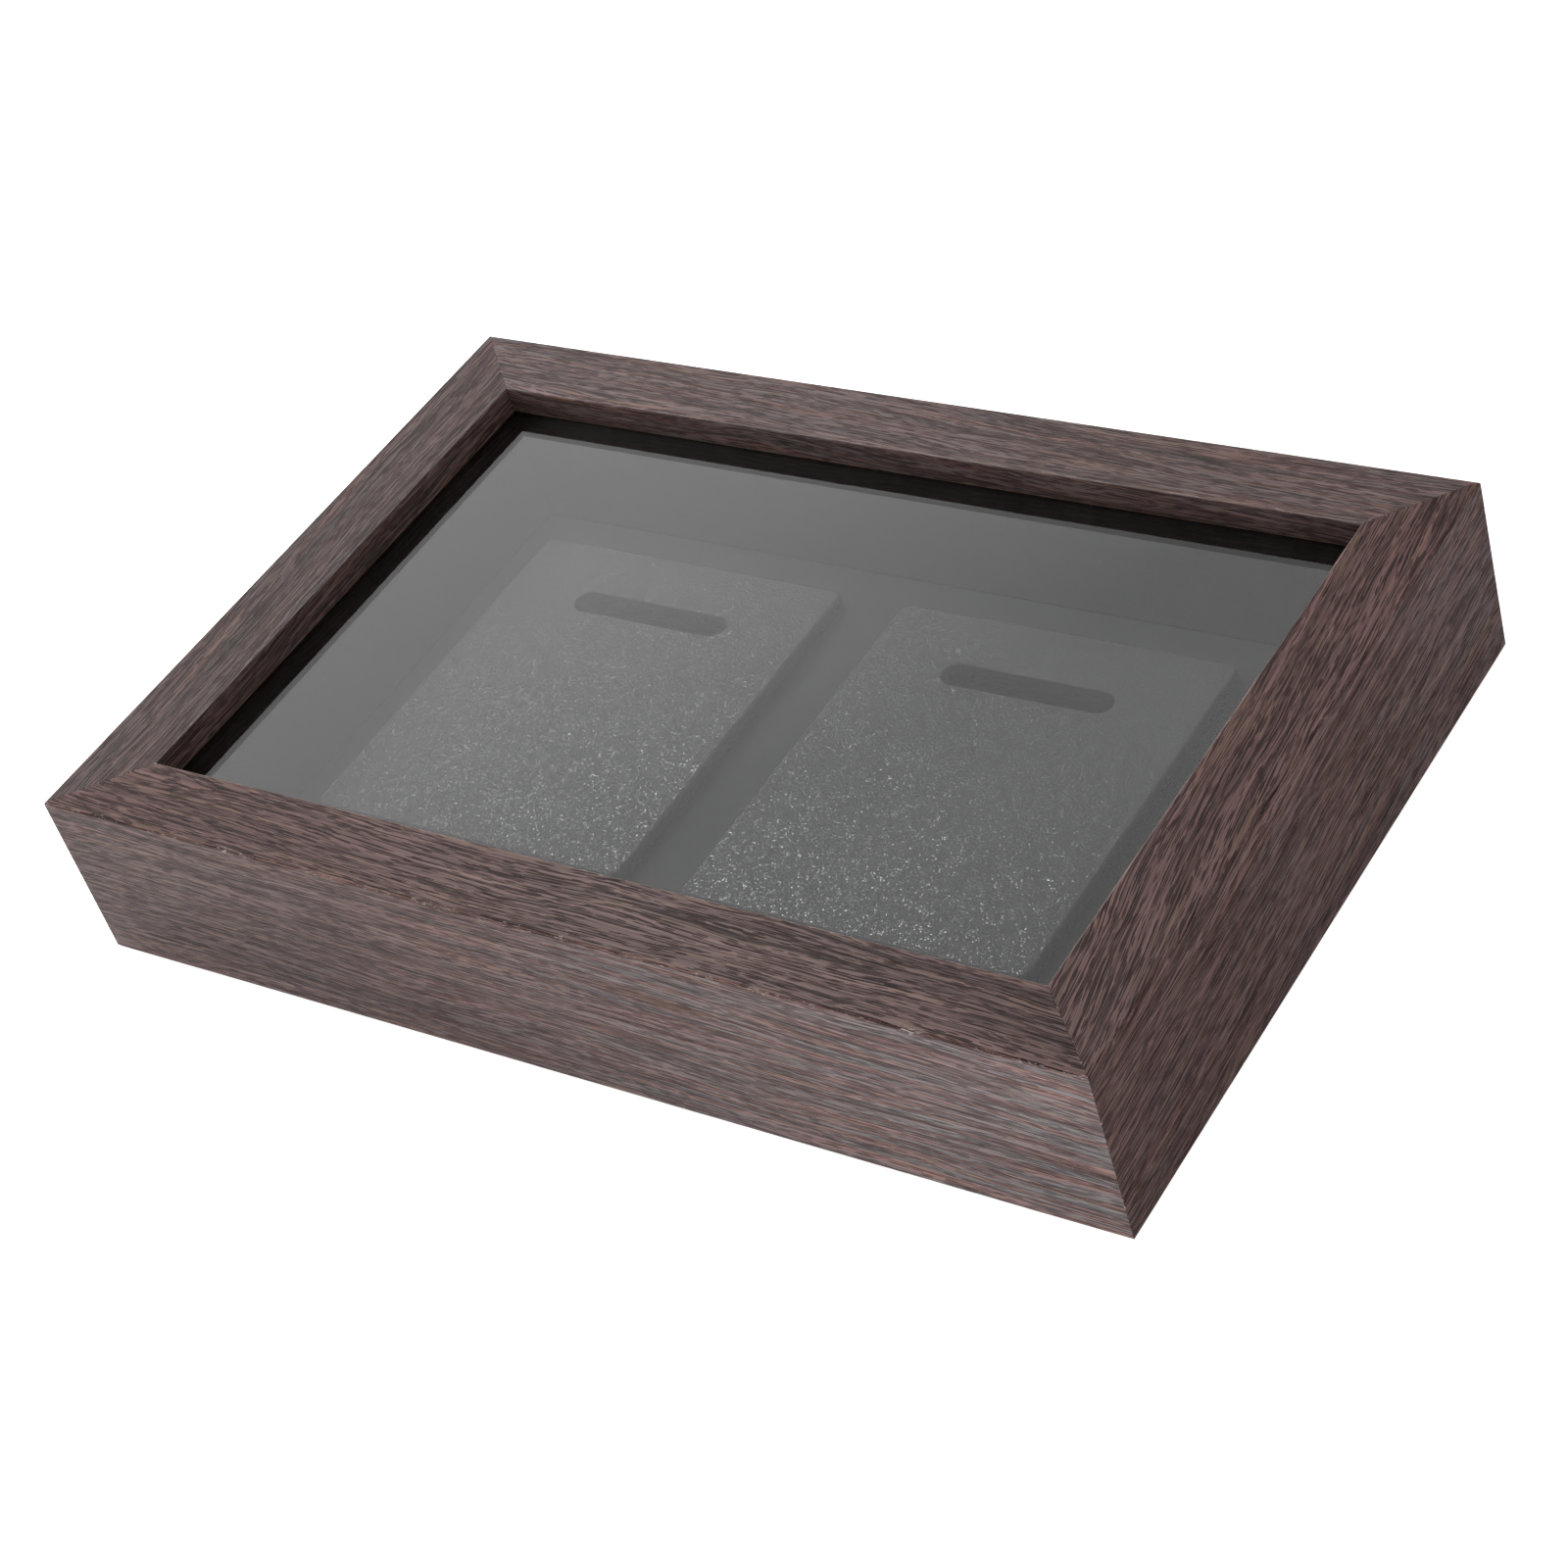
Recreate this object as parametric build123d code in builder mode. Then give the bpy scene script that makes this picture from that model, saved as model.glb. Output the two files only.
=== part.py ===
from build123d import *
import os

# Medal display box, lying on its back with the glass up.
# The origin is at the centre of the base. X runs along the long rails, Y towards the far
# rail, which is the upper one when the box hangs on a wall, and Z up through the glass.
# Every size is in millimetres, and heights are built up layer by layer from the back.

# Case moulding
case_length = 300.0
case_width = 200.0
rail_face = 21.3
wall = 15.3
lip_thickness = 7.5
edge_ease = 0.8

# Step round the back opening, which holds the turn buttons and the hangers
land_width = 6.3
back_recess = 4.0

# Layers behind the glass, from the back up
cover_setback = 0.2
cover_thickness = 2.5
ribbon_bay = 9.3
board_thickness = 3.0
display_depth = 22.5
glass_thickness = 2.0
glass_arris = 0.2
panel_clearance = 0.5

# Dark foam liner round the display space, whose walls slope in from the lip to a thick foot,
# and the battens behind the board
liner_thickness = 20.0
batten_width = 8.0

# Medal plates, each a board core wrapped in grained leathercloth
plate_thickness = 4.0
plate_gap = 18.4
plate_side_margin = 9.4
plate_far_margin = 12.2
plate_near_margin = 7.2
plate_corner = 3.0
plate_edge = 1.0
cloth = 0.6

# Ribbon slots through the plates and the board
slot_length = 48.0
slot_height = 7.6
slot_from_far_edge = 21.4
slot_rim = 0.4
board_slot_clearance = 1.0

# Finger notch in the back cover
notch_radius = 12.0

# Turn buttons and their screws
button_thickness = 1.2
button_side_clearance = 0.5
button_taper = 1.0
button_reach = 15.0
button_edge = 0.25
button_inset = 55.0
thumb_rib_width = 1.4
thumb_rib_height = 0.8
screw_shank_radius = 1.5
screw_length = 12.0
screw_point = 3.0
screw_head_height = 1.5
screw_head_round = 0.8
screw_rim = 1.0
screw_running_clearance = 0.08
pilot_clearance = 0.05
recess_width = 0.8
recess_depth = 0.8

# Sawtooth hangers and their nails
hanger_length = 44.0
hanger_tab = 9.0
hanger_bend = 3.0
hanger_sheet = 0.8
hanger_standoff = 1.2
hanger_clearance = 0.5
hanger_spacing = 70.0
tooth_pitch = 2.5
tooth_depth = 1.4
nail_radius = 0.7
nail_length = 9.0
nail_point = 1.5
nail_head_radius = 1.7
nail_head_height = 0.6

# V-nails across the mitres
v_nail_leg = 3.4
v_nail_sheet = 0.5
v_nail_length = 7.0
v_nail_clearance = 0.05

# Heights
z_ledge = back_recess
z_cover = z_ledge + cover_setback
z_bay = z_cover + cover_thickness
z_board = z_bay + ribbon_bay
z_floor = z_board + board_thickness
z_glass = z_floor + display_depth
z_lip = z_glass + glass_thickness
case_height = z_lip + lip_thickness

# Plan sizes that follow from the moulding
opening_length = case_length - 2 * wall
opening_width = case_width - 2 * wall
panel_length = opening_length - 2 * panel_clearance
panel_width = opening_width - 2 * panel_clearance
liner_top = rail_face - wall
display_length = opening_length - 2 * liner_thickness
display_width = opening_width - 2 * liner_thickness
ledge_width = wall - land_width
ledge_middle = land_width + ledge_width / 2
plate_width = (display_length - 2 * plate_side_margin - plate_gap) / 2
plate_height = display_width - plate_far_margin - plate_near_margin
plate_x = (plate_gap + plate_width) / 2
plate_y = (plate_near_margin - plate_far_margin) / 2
slot_y = plate_y + plate_height / 2 - slot_from_far_edge
button_radius = ledge_width / 2 - button_side_clearance
button_tip_radius = button_radius - button_taper
thumb_rib_length = 2 * button_tip_radius - thumb_rib_width
screw_head_radius = button_radius - screw_rim
hanger_width = ledge_width - 2 * hanger_clearance

# Centre lines of the ledge, and the turn buttons: name, pivot x and y, and the way each one
# points while it is parked along its rail, in degrees from X
ledge_x = case_length / 2 - ledge_middle
ledge_y = case_width / 2 - ledge_middle
button_x = opening_length / 2 - button_inset
turn_buttons = [
    ("turn_button_far_left", -button_x, ledge_y, 180),
    ("turn_button_far_right", button_x, ledge_y, 0),
    ("turn_button_near_left", -button_x, -ledge_y, 180),
    ("turn_button_near_right", button_x, -ledge_y, 0),
    ("turn_button_left_side", -ledge_x, 0, 270),
    ("turn_button_right_side", ledge_x, 0, 270),
]
hanger_centres = [-hanger_spacing / 2, hanger_spacing / 2]
nail_offset = (hanger_length - hanger_tab) / 2
nail_points = [(x + side * nail_offset, ledge_y) for x in hanger_centres for side in (-1, 1)]
screw_points = [(x, y) for label, x, y, heading in turn_buttons]
pilot_radius = screw_shank_radius + pilot_clearance
pilot_depth = screw_length - button_thickness + pilot_clearance
nail_hole_radius = nail_radius + pilot_clearance
nail_hole_depth = nail_length - hanger_sheet + pilot_clearance

# V-nails: how far in from the corner each one starts, and the height of its foot
v_nail_places = [
    ((land_width - v_nail_leg) / 2, 0.0),
    (ledge_middle - v_nail_leg / 2, z_ledge),
]

os.makedirs("parts", exist_ok=True)


def finish(piece, label):
    """Names a finished piece and writes its file."""
    piece.part.label = label
    export_step(piece.part, f"parts/{label}.step")
    size = piece.part.bounding_box().size
    print(f"{label}: {size.X:.1f} x {size.Y:.1f} x {size.Z:.1f} mm")


def mitred(section, run, outer):
    """A bar along X from its section, with both ends cut at 45 degrees from its outer face."""
    with BuildPart() as bar:
        extrude(section, amount=run / 2, both=True)
        for side in (-1, 1):
            mitre = Plane(origin=(side * run / 2, outer, 0), z_dir=(side, 1, 0))
            split(bisect_by=mitre, keep=Keep.BOTTOM)
    return bar.part


# Rails: one mitred moulding for each side, wrapped in wood-grain foil
def moulding(run, across):
    """A rail along X whose outer face looks to minus Y."""
    outer = -across / 2
    with BuildSketch(Plane.YZ) as section:
        with BuildLine():
            Polyline(
                (outer, 0),
                (outer + land_width, 0),
                (outer + land_width, z_ledge),
                (outer + wall, z_ledge),
                (outer + wall, z_lip),
                (outer + rail_face, z_lip),
                (outer + rail_face, case_height),
                (outer, case_height),
                close=True,
            )
        make_face()
        upper = section.vertices().group_by(Axis.Y)[-1]
        foot = section.vertices().group_by(Axis.Y)[0].sort_by(Axis.X)[0]
        fillet([*upper, foot], edge_ease)
    return mitred(section.sketch, run, outer)


def v_nails(margin, mode):
    """The V-nails of all four corners, added to or cut from the piece being made."""
    corner_x = -case_length / 2 - margin
    corner_y = -case_width / 2 - margin
    leg = v_nail_leg + 2 * margin
    sheet = v_nail_sheet + 2 * margin
    for inset, foot in v_nail_places:
        with BuildSketch(Plane.XY.offset(foot)) as outline:
            with Locations((corner_x + inset, corner_y + inset)):
                Rectangle(leg, sheet, align=(Align.MIN, Align.MIN))
                Rectangle(sheet, leg, align=(Align.MIN, Align.MIN))
            mirror(about=Plane.YZ)
            mirror(about=Plane.XZ)
        extrude(outline.sketch, amount=v_nail_length + margin, mode=mode)


def ledge_holes(points, radius, depth):
    """Blind holes up into the ledge of the rail being made."""
    with Locations(*[Plane(origin=(x, y, z_ledge), z_dir=(0, 0, -1)) for x, y in points]):
        Hole(radius, depth)


rails = [
    ("near_rail", case_length, case_width, 0),
    ("right_rail", case_width, case_length, 90),
    ("far_rail", case_length, case_width, 180),
    ("left_rail", case_width, case_length, 270),
]
for label, run, across, turn in rails:
    with BuildPart() as rail:
        add(moulding(run, across), rotation=(0, 0, turn))
        v_nails(v_nail_clearance, Mode.SUBTRACT)
        ledge_holes(screw_points, pilot_radius, pilot_depth)
        ledge_holes(nail_points, nail_hole_radius, nail_hole_depth)
    finish(rail, label)

# V-nails: folded steel strips driven across each mitre from the back
with BuildPart() as corner_v_nails:
    v_nails(0, Mode.ADD)
finish(corner_v_nails, "corner_v_nails")

# Glass, held up against the lip by the liner
with BuildPart() as glass_pane:
    with BuildSketch(Plane.XY.offset(z_glass)):
        Rectangle(panel_length, panel_width)
    extrude(amount=glass_thickness)
    chamfer(glass_pane.edges(), glass_arris)
finish(glass_pane, "glass_pane")


# Liner strips: as thin as the lip under the glass, where they don't show, and thick at the foot
def liner_strip(run, across):
    """A strip along X that stands against the wall on the minus Y side."""
    outer = -across / 2
    with BuildSketch(Plane.YZ) as section:
        with BuildLine():
            Polyline(
                (outer, z_floor),
                (outer + liner_thickness, z_floor),
                (outer + liner_top, z_glass),
                (outer, z_glass),
                close=True,
            )
        make_face()
    return mitred(section.sketch, run, outer)


liner_strips = [
    ("liner_strip_near", opening_length, opening_width, 0),
    ("liner_strip_right", opening_width, opening_length, 90),
    ("liner_strip_far", opening_length, opening_width, 180),
    ("liner_strip_left", opening_width, opening_length, 270),
]
for label, run, across, turn in liner_strips:
    with BuildPart() as strip:
        add(liner_strip(run, across), rotation=(0, 0, turn))
    finish(strip, label)

# Battens: the long ones run the whole opening, and the short ones fit between them
long_y = (opening_width - batten_width) / 2
short_x = (opening_length - batten_width) / 2
short_run = opening_width - 2 * batten_width
battens = [
    ("batten_far", 0, long_y, opening_length, batten_width),
    ("batten_near", 0, -long_y, opening_length, batten_width),
    ("batten_left", -short_x, 0, batten_width, short_run),
    ("batten_right", short_x, 0, batten_width, short_run),
]
for label, x, y, along_x, along_y in battens:
    with BuildPart() as batten:
        with BuildSketch(Plane.XY.offset(z_bay)):
            with Locations((x, y)):
                Rectangle(along_x, along_y)
        extrude(amount=ribbon_bay)
    finish(batten, label)

# Display board, the flocked floor that the plates lie on, with a slot behind each plate's own
with BuildPart() as display_board:
    with BuildSketch(Plane.XY.offset(z_board)):
        Rectangle(panel_length, panel_width)
        with Locations((-plate_x, slot_y), (plate_x, slot_y)):
            slot_margin = 2 * board_slot_clearance
            SlotOverall(slot_length + slot_margin, slot_height + slot_margin, mode=Mode.SUBTRACT)
    extrude(amount=board_thickness)
finish(display_board, "display_board")


# Medal plates: the cloth covers the core's face and sides and lines its slot
def medal_plate(side, place):
    """The core and the cloth of one plate, whose centre lies at side times plate_x."""
    centre = side * plate_x
    with BuildPart() as core:
        with BuildSketch(Plane.XY.offset(z_floor)):
            with Locations((centre, plate_y)):
                core_size = (plate_width - 2 * cloth, plate_height - 2 * cloth)
                RectangleRounded(*core_size, plate_corner - cloth)
            with Locations((centre, slot_y)):
                SlotOverall(slot_length + 2 * cloth, slot_height + 2 * cloth, mode=Mode.SUBTRACT)
        extrude(amount=plate_thickness - cloth)
    finish(core, f"plate_core_{place}")

    with BuildPart() as cover:
        with BuildSketch(Plane.XY.offset(z_floor)):
            with Locations((centre, plate_y)):
                RectangleRounded(plate_width, plate_height, plate_corner)
        extrude(amount=plate_thickness)
        fillet(cover.faces().sort_by(Axis.Z)[-1].edges(), plate_edge)
        with BuildSketch(Plane.XY.offset(z_floor)):
            with Locations((centre, slot_y)):
                SlotOverall(slot_length, slot_height)
        extrude(amount=plate_thickness, mode=Mode.SUBTRACT)
        rim = cover.faces().sort_by(Axis.Z)[-1].inner_wires()[0].edges()
        fillet(rim, slot_rim)
        add(core.part, mode=Mode.SUBTRACT)
    finish(cover, f"plate_cloth_{place}")


medal_plate(-1, "left")
medal_plate(1, "right")

# Back cover, pushed into the opening from behind, with a notch for a fingertip
with BuildPart() as back_cover:
    with BuildSketch(Plane.XY.offset(z_cover)):
        Rectangle(panel_length, panel_width)
        with Locations((0, -panel_width / 2)):
            Circle(notch_radius, mode=Mode.SUBTRACT)
    extrude(amount=cover_thickness)
finish(back_cover, "back_cover")

# Turn buttons: each turns on its screw, from along the rail to across the cover's edge
for label, x, y, heading in turn_buttons:
    turned = Plane.XY.rotated((0, 0, heading))
    face = Plane(origin=(x, y, z_ledge - button_thickness), x_dir=turned.x_dir)
    with BuildPart() as button:
        with BuildSketch(face):
            Circle(button_radius)
            with Locations((button_reach, 0)):
                Circle(button_tip_radius)
            make_hull()
            Circle(screw_shank_radius + screw_running_clearance, mode=Mode.SUBTRACT)
        extrude(amount=button_thickness)
        rims = button.faces().filter_by(Axis.Z)
        fillet([rim.outer_wire().edges() for rim in rims], button_edge)
        with BuildSketch(face):
            with Locations((button_reach, 0)):
                SlotOverall(thumb_rib_length, thumb_rib_width, rotation=90)
        extrude(amount=-thumb_rib_height)
    finish(button, label)


def driven(x, y, outline):
    """A round fastener about the upright line through x, y, from its half section."""
    with BuildSketch(Plane(origin=(x, y, 0), x_dir=(1, 0, 0), z_dir=(0, -1, 0))) as half:
        with BuildLine():
            Polyline(*outline, close=True)
        make_face()
    revolve(half.sketch, axis=Axis((x, y, 0), (0, 0, 1)))


# Screws of the turn buttons, with bevelled heads and a crossed recess
z_button = z_ledge - button_thickness
z_screw_head = z_button - screw_head_height
z_screw_tip = z_button + screw_length
screw_outline = [
    (0, z_screw_head),
    (screw_head_radius - screw_head_round, z_screw_head),
    (screw_head_radius, z_screw_head + screw_head_round),
    (screw_head_radius, z_button),
    (screw_shank_radius, z_button),
    (screw_shank_radius, z_screw_tip - screw_point),
    (0, z_screw_tip),
]
with BuildPart() as turn_button_screws:
    for x, y in screw_points:
        driven(x, y, screw_outline)
    with Locations(*[(x, y, z_screw_head) for x, y in screw_points]):
        Box(screw_head_radius, recess_width, 2 * recess_depth, mode=Mode.SUBTRACT)
        Box(recess_width, screw_head_radius, 2 * recess_depth, mode=Mode.SUBTRACT)
finish(turn_button_screws, "turn_button_screws")

# Sawtooth hangers: a strip bent out from the ledge between two nailed tabs, toothed below
z_tab = z_ledge - hanger_sheet
z_bridge = z_tab - hanger_standoff
half_tab = hanger_length / 2 - hanger_tab
half_bridge = half_tab - hanger_bend
teeth = int(2 * half_bridge / tooth_pitch) - 1
for centre, label in zip(hanger_centres, ("sawtooth_hanger_left", "sawtooth_hanger_right")):
    with BuildPart() as hanger:
        with BuildSketch(Plane(origin=(centre, ledge_y, 0), x_dir=(1, 0, 0), z_dir=(0, -1, 0))):
            with BuildLine():
                Polyline(
                    (-hanger_length / 2, z_tab),
                    (-half_tab, z_tab),
                    (-half_bridge, z_bridge),
                    (half_bridge, z_bridge),
                    (half_tab, z_tab),
                    (hanger_length / 2, z_tab),
                    (hanger_length / 2, z_ledge),
                    (half_tab, z_ledge),
                    (half_bridge, z_bridge + hanger_sheet),
                    (-half_bridge, z_bridge + hanger_sheet),
                    (-half_tab, z_ledge),
                    (-hanger_length / 2, z_ledge),
                    close=True,
                )
            make_face()
        extrude(amount=hanger_width / 2, both=True)
        with BuildSketch(Plane(origin=(centre, ledge_y - hanger_width / 2, z_bridge))):
            with GridLocations(tooth_pitch, 1, teeth, 1):
                with BuildLine():
                    Polyline(
                        (-tooth_pitch / 2, 0), (tooth_pitch / 2, 0), (0, tooth_depth), close=True
                    )
                make_face()
        extrude(amount=hanger_sheet, mode=Mode.SUBTRACT)
        with Locations(*[(x, y, z_ledge) for x, y in nail_points]):
            Hole(nail_hole_radius, hanger_sheet)
    finish(hanger, label)

# Nails of the hangers
z_nail_head = z_tab - nail_head_height
nail_outline = [
    (0, z_nail_head),
    (nail_head_radius, z_nail_head),
    (nail_head_radius, z_tab),
    (nail_radius, z_tab),
    (nail_radius, z_tab + nail_length - nail_point),
    (0, z_tab + nail_length),
]
with BuildPart() as hanger_nails:
    for x, y in nail_points:
        driven(x, y, nail_outline)
finish(hanger_nails, "hanger_nails")

print(f"case: {case_length:.1f} x {case_width:.1f} x {case_height:.1f} mm")
print(f"medal plate: {plate_width:.1f} x {plate_height:.1f} x {plate_thickness:.1f} mm")
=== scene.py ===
# %% [markdown]
# # A medal display box, dressed in Blender
# The box lies on its back with the glass up. Its rigid parts come from a CAD model, which is loaded
# here as a fixed frame in metres. This lesson gives every part its finish, and rebuilds the soft
# parts, which CAD holds only as plain solids: the foam round the walls and the grained cloth that
# wraps the two medal plates. It ends with the floor, the light and the camera.

# %% Load the frame
import math

import bmesh
import bpy
from mathutils import Matrix, Quaternion, Vector


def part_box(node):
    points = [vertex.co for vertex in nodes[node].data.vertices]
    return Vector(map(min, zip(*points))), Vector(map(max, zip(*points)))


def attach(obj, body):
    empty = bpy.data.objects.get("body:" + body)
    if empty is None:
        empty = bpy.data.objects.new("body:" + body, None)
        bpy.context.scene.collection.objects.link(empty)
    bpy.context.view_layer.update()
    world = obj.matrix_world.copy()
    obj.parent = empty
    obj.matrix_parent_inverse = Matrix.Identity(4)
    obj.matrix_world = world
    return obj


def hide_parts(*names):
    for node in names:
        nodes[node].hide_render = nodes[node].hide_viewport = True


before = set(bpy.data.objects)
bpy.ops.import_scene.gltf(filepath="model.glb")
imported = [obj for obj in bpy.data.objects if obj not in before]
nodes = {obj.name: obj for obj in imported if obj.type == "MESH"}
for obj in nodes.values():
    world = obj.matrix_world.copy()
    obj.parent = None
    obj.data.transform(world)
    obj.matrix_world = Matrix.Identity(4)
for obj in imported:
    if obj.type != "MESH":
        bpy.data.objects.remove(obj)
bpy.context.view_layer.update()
MM = 0.001

# %% [markdown]
# ## Writing a finish as a recipe
# Every finish below is a small tree of shader nodes. Placing nodes one by one takes many lines, so
# a recipe holds one material and has a short call for each kind of step. A step takes numbers or
# the outputs of other steps. The plain steps come first: arithmetic, a soft threshold, a mix of two
# colours and a change of brightness.


# %% The plain steps
class Steps:
    def __init__(self, name):
        self.material = bpy.data.materials.new(name)
        self.material.use_nodes = True
        self.tree = self.material.node_tree
        self.tree.nodes.clear()

    def put(self, kind, inputs, **settings):
        """A shader node. An input is a number, a colour or another node's output."""
        node = self.tree.nodes.new("ShaderNode" + kind)
        for name, value in settings.items():
            setattr(node, name, value)
        for name, value in inputs.items():
            if isinstance(value, bpy.types.NodeSocket):
                self.tree.links.new(value, node.inputs[name])
            else:
                node.inputs[name].default_value = value
        return node

    def sum(self, operation, *values):
        """One step of arithmetic."""
        return self.put("Math", dict(enumerate(values)), operation=operation).outputs[0]

    def soft(self, value, low, high, to_low=0.0, to_high=1.0):
        """A soft threshold: to_low below low, to_high above high, and an S curve between."""
        limits = {"Value": value, "From Min": low, "From Max": high}
        limits |= {"To Min": to_low, "To Max": to_high}
        return self.put("MapRange", limits, interpolation_type="SMOOTHSTEP").outputs[0]

    def mix(self, share, first, second):
        """share of the second colour over the first."""
        ends = [c if isinstance(c, bpy.types.NodeSocket) else (*c, 1) for c in (first, second)]
        return self.put("Mix", {0: share, 6: ends[0], 7: ends[1]}, data_type="RGBA").outputs[2]

    def shade(self, colour, factor):
        """A colour made lighter or darker, or a place made larger, by a factor."""
        return self.put("VectorMath", {0: colour, "Scale": factor}, operation="SCALE").outputs[0]


# %% [markdown]
# The other steps find a place and draw a pattern there. Noise gives soft clouds, and when its place
# is pressed flat and stretched it gives the streaks of wood. Cells give pebbles, bubbles and pores.
# Noise has most of its values between 0.3 and 0.7, so a threshold near 0.7 leaves only rare marks.


# %% Places and patterns
class Recipe(Steps):
    def place(self, unit=MM):
        """The point being shaded, in the object's own frame, in millimetres or another unit."""
        point = self.put("TexCoord", {}).outputs["Object"]
        return self.put("Mapping", {"Vector": point, "Scale": (1 / unit,) * 3}).outputs[0]

    def axes(self, turn=0.0):
        """The point's X, Y and Z in millimetres, along axes turned about Z by some degrees."""
        point = self.put("TexCoord", {}).outputs["Object"]
        turn_back = (0, 0, -math.radians(turn))
        mapping = {"Vector": point, "Scale": (1 / MM,) * 3, "Rotation": turn_back}
        turned = self.put("Mapping", mapping).outputs[0]
        return self.put("SeparateXYZ", {"Vector": turned}).outputs

    def plane(self, along, across, length, width, shift=0.0):
        """A place on a flat pattern whose marks are about length by width."""
        along = self.sum("MULTIPLY_ADD", along, 1 / length, shift)
        across = self.sum("MULTIPLY_ADD", across, 1 / width, shift)
        return self.put("CombineXYZ", {"X": along, "Y": across}).outputs[0]

    def noise(self, place, detail=2.0, roughness=0.5, dimensions="3D"):
        """Cloudy noise, mostly between 0.3 and 0.7."""
        inputs = {"Vector": place, "Scale": 1.0, "Detail": detail, "Roughness": roughness}
        return self.put("TexNoise", inputs, noise_dimensions=dimensions).outputs[0]

    def streaks(self, along, across, length, width, shift=0.0, detail=2.0, roughness=0.5):
        """Flat noise in marks of about length by width."""
        return self.noise(self.plane(along, across, length, width, shift), detail, roughness, "2D")

    def cells(self, place, dimensions="3D"):
        """Scattered cells: how far each point is from its cell's centre, and a colour a cell."""
        inputs = {"Vector": place, "Scale": 1.0}
        node = self.put("TexVoronoi", inputs, voronoi_dimensions=dimensions)
        return node.outputs["Distance"], node.outputs["Color"]

    def surface(self, shader):
        """Ends the material in a shader."""
        self.put("OutputMaterial", {"Surface": shader})
        print(f"{self.material.name}: {len(self.tree.nodes)} nodes")
        return self.material

    def finish(self, sockets, height=None, relief=0.0):
        """Ends the material in a Principled shader. relief is the height's depth in metres."""
        if height is not None:
            bump = {"Height": height, "Distance": relief, "Strength": 1.0}
            sockets = sockets | {"Normal": self.put("Bump", bump).outputs[0]}
        return self.surface(self.put("BsdfPrincipled", sockets).outputs[0])


def dress(material, *names):
    """Gives a material to CAD parts, whose shape stays as it is."""
    for name in names:
        nodes[name].data.materials.clear()
        nodes[name].data.materials.append(material)
    print(f"{material.name} is on {len(names)} of the CAD parts")


# %% [markdown]
# ## The foil on the rails
# The rails are fibreboard mouldings wrapped in a printed and embossed foil, cut at 45 degrees. The
# foil is one long strip, so its grain runs along each rail and folds over the edges without a
# break: up the outer side, across the face and down the lip. A pattern that reads plain X, Y, Z
# would cut through the wood as if it were solid and look wrong on the sides. So the first step
# unrolls the foil: it turns each point of a rail into a distance along it and a distance round it.
# The inset is how far the point lies inside the box's outline.

# %% Unroll the foil
RAIL_FACE = 21.3
CASE_HEIGHT = 51.0
LONG, SHORT = 300.0, 200.0
MID_FACE = 9.0, 12.0


def unroll(recipe, turn, across):
    """Where a point of a rail lies on its foil, in millimetres, with its inset and height."""
    axes = recipe.axes(turn)
    inset = recipe.sum("ADD", axes["Y"], across / 2)
    fall = recipe.sum("SUBTRACT", CASE_HEIGHT, axes["Z"])
    side = recipe.soft(inset, *MID_FACE, -1.0, 1.0)
    around = recipe.sum("MULTIPLY_ADD", fall, side, inset)
    return axes["X"], around, inset, axes["Z"]


print(f"foil from the foot to the lip: {CASE_HEIGHT + RAIL_FACE:.1f} mm")

# %% [markdown]
# The print is a dark open-pored walnut. Between its dark marks the wood has a ground of soft
# colours: broad brown bands, tan streaks, cool grey streaks, and fibres with finer threads among
# them. Each is a noise stretched along the grain. Its row gives the length and width of its marks
# in millimetres, where on the noise it starts, how many finer noises are added and how strongly.

# %% The ground of the print
BROWN_DARK, BROWN, BROWN_PALE = (0.070, 0.038, 0.036), (0.118, 0.067, 0.062), (0.170, 0.098, 0.090)
TAN, GREY = (0.165, 0.098, 0.071), (0.105, 0.100, 0.103)
BANDS = (200, 3.2, 3.0, 3, 0.6)
WARM, COOL = (80, 1.6, 17.0, 2, 0.5), (60, 1.3, 37.0, 2, 0.5)
FIBRES, THREADS = (70, 0.55, 5.0, 2, 0.6), (36, 0.26, 13.0, 1, 0.5)
THREAD_SHARE = 0.35
FIBRE_DARKEST, FIBRE_LIGHTEST = 0.72, 1.34


def ground(recipe, along, line, grey_print_and_sheen):
    """The wood's colour between its dark marks, and its fibres."""
    rows = BANDS, WARM, COOL, FIBRES, THREADS
    bands, warm, cool, fibres, threads = (recipe.streaks(along, line, *row) for row in rows)
    fibres = recipe.sum("MULTIPLY_ADD", threads, THREAD_SHARE, fibres)
    colour = recipe.mix(recipe.soft(bands, 0.30, 0.52), BROWN_DARK, BROWN)
    colour = recipe.mix(recipe.soft(bands, 0.50, 0.70), colour, BROWN_PALE)
    colour = recipe.mix(recipe.soft(warm, 0.50, 0.66, 0.0, 0.55), colour, TAN)
    greyed = recipe.sum("MULTIPLY", recipe.soft(cool, 0.36, 0.62), grey_print_and_sheen)
    colour = recipe.mix(greyed, colour, GREY)
    lightness = recipe.soft(fibres, 0.48, 0.87, FIBRE_DARKEST, FIBRE_LIGHTEST)
    return recipe.shade(colour, lightness), fibres


# %% [markdown]
# Near-black veins follow the growth rings. One wide noise, cut into equal steps, gives long lines
# that waver together and never cross, and two more noises let each line swell, thin and break.
# Needles are stray short veins.

# %% Veins
VEIN = (0.021, 0.011, 0.011)
RING_STEPS = 12.0
RINGS, CROWD = (200, 8.0, 11.0, 1, 0.4), (80, 6.0, 23.0, 1, 0.5)
BROKEN, NEEDLES = (60, 0.9, 31.0, 1, 0.5), (50, 0.62, 47.0, 1, 0.5)


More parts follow.
